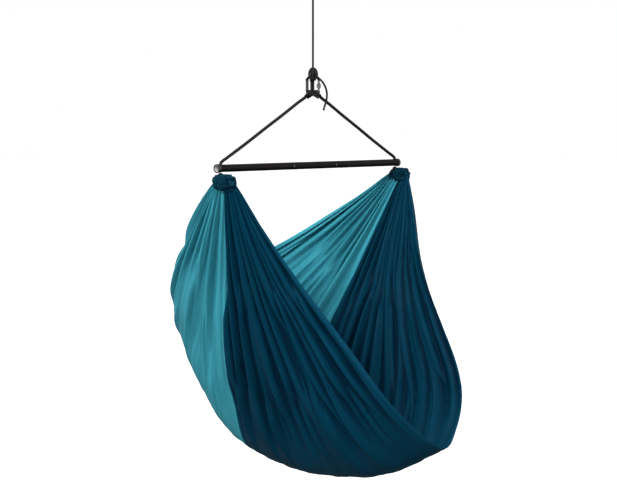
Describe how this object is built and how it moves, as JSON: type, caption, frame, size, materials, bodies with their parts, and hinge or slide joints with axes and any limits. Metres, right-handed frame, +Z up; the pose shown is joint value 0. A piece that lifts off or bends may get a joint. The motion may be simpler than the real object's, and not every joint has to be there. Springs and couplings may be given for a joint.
{
  "type": "hanging hammock chair",
  "caption": "Hanging hammock chair: a two-tone cloth sling gathered at both ends, a tubular spreader bar, a rope bridle, a locking carabiner and a hanging cord.",
  "frame": {"origin": "where the ceiling hook bears inside the loop at the top of the hanging cord", "axes": "+Z up, the spreader bar runs along X, the sitter faces -Y"},
  "size_m": [0.9, 1.2469, 1.783],
  "materials": {
    "cord": "braided thin cord, dark grey-black",
    "rope": "braided rope, black",
    "loop_rope": "braided rope, grey",
    "anodised": "black anodised, satin",
    "sleeve": "grey anodised, knurled",
    "bar_tube": "black powder coat, satin",
    "bare_aluminium": "bare drawn aluminium",
    "steel": "stainless, brushed",
    "moulding": "black, matt moulded",
    "turquoise_cloth": "thin woven nylon, turquoise, soft sheen",
    "petrol_cloth": "thin woven nylon, dark petrol blue, soft sheen"
  },
  "bodies": {
    "hook_loop": {"top_loop": "cord"},
    "loop_knot": {"top_knot": "cord"},
    "cord": {"hanging_cord": "cord"},
    "hanger": {"carabiner_knot": "cord", "cord_tail": "cord", "tail_knot": "cord", "carabiner_body": "anodised", "gate_pin": "steel"},
    "gate": {"carabiner_gate": "anodised", "latch_pin": "steel", "gate_spring": "steel"},
    "sleeve": {"gate_sleeve": "sleeve"},
    "bar": {"bridle_hitch": "rope", "bridle_left": "rope", "bridle_right": "rope", "bar_left": "bar_tube", "bar_right": "bar_tube", "bar_connector": "bare_aluminium", "bar_end_ring_left": "moulding", "bar_end_ring_right": "moulding", "stopper_knot_left": "rope", "stopper_knot_right": "rope", "button_spring_left": "steel", "button_spring_right": "steel"},
    "button_left": {"snap_button_left": "steel"},
    "button_right": {"snap_button_right": "steel"},
    "sling": {"end_loop_left": "loop_rope", "end_loop_right": "loop_rope", "end_channel_left": "petrol_cloth", "end_channel_right": "petrol_cloth", "back_panel": "turquoise_cloth", "seat_panel": "petrol_cloth", "panel_seam": "petrol_cloth", "back_hem": "turquoise_cloth", "front_hem": "petrol_cloth"}
  },
  "joints": [
    {"name": "swing_sideways", "type": "hinge", "parent": "hook_loop", "child": "loop_knot", "pos_m": [0, 0, -0.084], "axis": [0, 1, 0], "range_deg": [-20, 20]},
    {"name": "swing_forward", "type": "hinge", "parent": "loop_knot", "child": "cord", "pos_m": [0, 0, -0.084], "axis": [1, 0, 0], "range_deg": [-25, 25]},
    {"name": "spin", "type": "hinge", "parent": "cord", "child": "hanger", "pos_m": [0, 0, -0.359], "axis": [0, 0, 1], "range_deg": [-180, 180]},
    {"name": "hitch_nod", "type": "hinge", "parent": "hanger", "child": "bar", "pos_m": [0, 0, -0.4521], "axis": [0.7071, -0.7071, 0], "range_deg": [-4, 4]},
    {"name": "sling_swing", "type": "hinge", "parent": "bar", "child": "sling", "pos_m": [0, 0, -0.7169], "axis": [1, 0, 0], "range_deg": [-25, 25]},
    {"name": "gate_open", "type": "hinge", "parent": "hanger", "child": "gate", "pos_m": [0.01414, -0.01414, -0.4361], "axis": [-0.7071, -0.7071, 0], "range_deg": [0, 18], "stiffness_Nm_per_rad": 0.08, "springref_deg": -5.73},
    {"name": "sleeve_turn", "type": "hinge", "parent": "gate", "child": "sleeve", "pos_m": [0.01414, -0.01414, -0.42], "axis": [0, 0, 1], "range_deg": [0, 300]},
    {"name": "button_press_left", "type": "slide", "parent": "bar", "child": "button_left", "axis": [0, 1, 0], "range_m": [0, 0.003], "stiffness_N_per_m": 400, "springref_m": -0.002, "deforming": ["button_spring_left"]},
    {"name": "button_press_right", "type": "slide", "parent": "bar", "child": "button_right", "axis": [0, 1, 0], "range_m": [0, 0.003], "stiffness_N_per_m": 400, "springref_m": -0.002, "deforming": ["button_spring_right"]}
  ]
}
